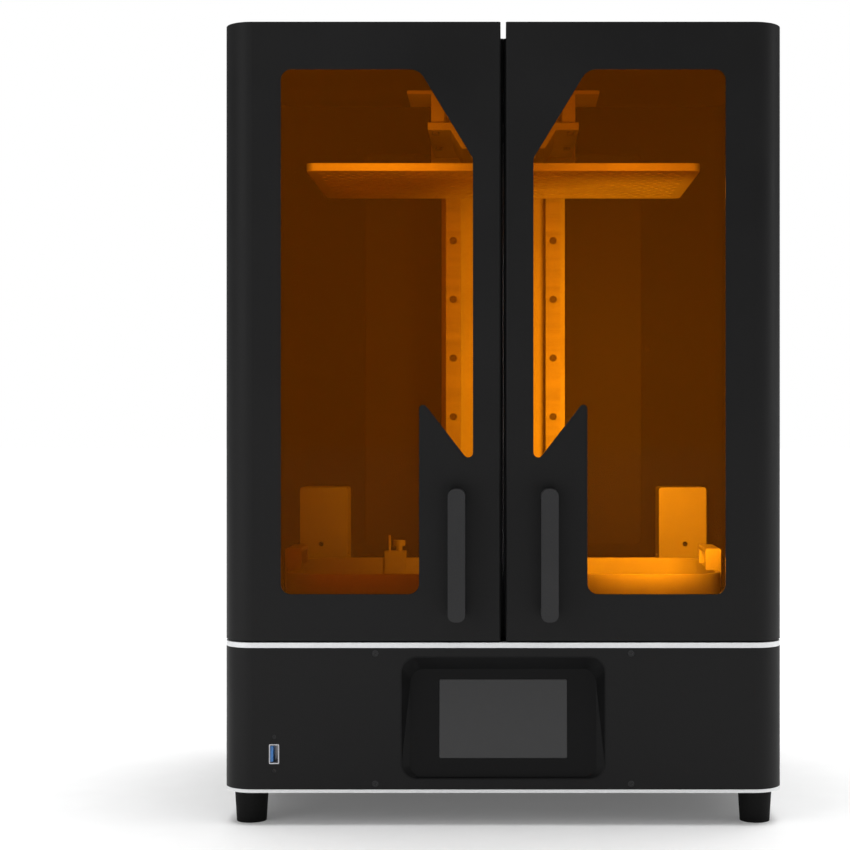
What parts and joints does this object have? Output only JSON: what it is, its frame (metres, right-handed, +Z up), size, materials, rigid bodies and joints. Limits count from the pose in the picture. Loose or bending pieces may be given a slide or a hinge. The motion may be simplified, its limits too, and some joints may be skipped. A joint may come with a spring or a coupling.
{
  "type": "resin printer",
  "caption": "Large-format resin 3D printer with a touchscreen base, two hinged doors with amber windows, a lifting build plate and a lift-out resin vat.",
  "frame": {"origin": "on the ground, under the middle of the outer box", "axes": "+Z up, front towards -Y, +X to the right seen from the front"},
  "size_m": [0.475, 0.4, 0.68],
  "materials": {
    "black_shell": "fine satin texture",
    "black_plastic": "matt",
    "handle_grey": "satin",
    "black_metal": "powder coat",
    "trim_silver": "satin anodised",
    "rubber_feet": "matt",
    "floor_steel": "powder coat",
    "screen_glass": "semi-gloss",
    "panel_glass": "gloss",
    "amber_window": "clear amber",
    "circuit_board": "solder mask",
    "bright_steel": "brushed",
    "dark_steel": "blackened",
    "blue_plastic": "moulded",
    "reflector": "bright",
    "clear_lens": "clear",
    "raw_aluminium": "bead blasted",
    "plate_aluminium": "sanded",
    "filter_case": "moulded",
    "motor_black": "satin",
    "nut_brass": "machined",
    "clear_film": "clear"
  },
  "bodies": {
    "root": {"feet": "rubber_feet", "base_floor": "floor_steel", "lower_trim": "trim_silver", "base_housing": "black_shell", "upper_trim": "trim_silver", "deck_plate": "black_metal", "screen_bezel": "black_plastic", "touch_panel": "screen_glass", "display_board": "circuit_board", "usb_port": "bright_steel", "usb_tongue": "blue_plastic", "case_screws": "black_metal", "lcd_frame": "black_metal", "lcd_panel": "panel_glass", "light_box": "reflector", "led_board": "circuit_board", "led_lenses": "clear_lens", "heat_sink": "raw_aluminium", "mainboard": "circuit_board", "power_supply": "bright_steel", "power_inlet": "black_plastic", "fan_frames": "black_plastic", "fan_guards": "bright_steel", "cabinet_shell": "black_shell", "rear_panel": "black_metal", "hinge_leaves": "bright_steel", "door_magnets": "black_metal", "air_filters": "filter_case", "z_column": "raw_aluminium", "z_rails": "bright_steel", "rail_screws": "dark_steel", "z_motor": "motor_black", "screw_bearing": "raw_aluminium"},
    "power_rocker": {"power_rocker": "black_plastic"},
    "left_fan": {"left_fan_rotor": "black_plastic"},
    "right_fan": {"right_fan_rotor": "black_plastic"},
    "lead_screw": {"z_screw": "bright_steel", "screw_coupling": "raw_aluminium"},
    "carriage": {"carriage_plate": "raw_aluminium", "rail_blocks": "bright_steel", "drive_nut": "nut_brass", "lift_arm": "raw_aluminium", "carry_handle": "raw_aluminium", "ball_mount": "raw_aluminium", "build_plate": "plate_aluminium", "plate_screws": "dark_steel"},
    "plate_knob": {"plate_knob": "black_plastic"},
    "vat": {"vat_frame": "raw_aluminium", "vat_film": "clear_film", "film_ring": "dark_steel", "vat_grips": "raw_aluminium", "feed_nozzle": "raw_aluminium"},
    "left_door": {"left_door_shell": "black_shell", "left_window": "amber_window", "left_handle": "handle_grey", "left_hinge_pins": "bright_steel"},
    "right_door": {"right_door_shell": "black_shell", "right_window": "amber_window", "right_handle": "handle_grey", "right_hinge_pins": "bright_steel"}
  },
  "joints": [
    {"name": "left_door_hinge", "type": "hinge", "parent": "root", "child": "left_door", "pos_m": [-0.2305, -0.123, 0.3], "axis": [0, 0, -1], "range_deg": [0, 105]},
    {"name": "right_door_hinge", "type": "hinge", "parent": "root", "child": "right_door", "pos_m": [0.2305, -0.123, 0.3], "axis": [0, 0, 1], "range_deg": [0, 105]},
    {"name": "z_lift", "type": "slide", "parent": "root", "child": "carriage", "axis": [0, 0, 1], "range_m": [-0.4, 0]},
    {"name": "screw_spin", "type": "hinge", "parent": "root", "child": "lead_screw", "pos_m": [0, 0.13, 0.4], "axis": [0, 0, 1], "range_deg": [-14500, 0]},
    {"name": "knob_turn", "type": "hinge", "parent": "carriage", "child": "plate_knob", "pos_m": [0, -0.012, 0.62], "axis": [0, 0, 1], "range_deg": [0, 720]},
    {"name": "vat_lift_off", "type": "slide", "parent": "root", "child": "vat", "axis": [0, 0, 1], "range_m": [0, 0.08]},
    {"name": "power_switch", "type": "hinge", "parent": "root", "child": "power_rocker", "pos_m": [-0.17, 0.193, 0.106], "axis": [1, 0, 0], "range_deg": [-18, 0]},
    {"name": "left_fan_spin", "type": "hinge", "parent": "root", "child": "left_fan", "pos_m": [-0.07, 0.18, 0.092], "axis": [0, 1, 0], "continuous": true},
    {"name": "right_fan_spin", "type": "hinge", "parent": "root", "child": "right_fan", "pos_m": [0.07, 0.18, 0.092], "axis": [0, 1, 0], "continuous": true}
  ],
  "couplings": [
    {"joint": "screw_spin", "follows": "z_lift", "rad_per_m": 628.32}
  ]
}
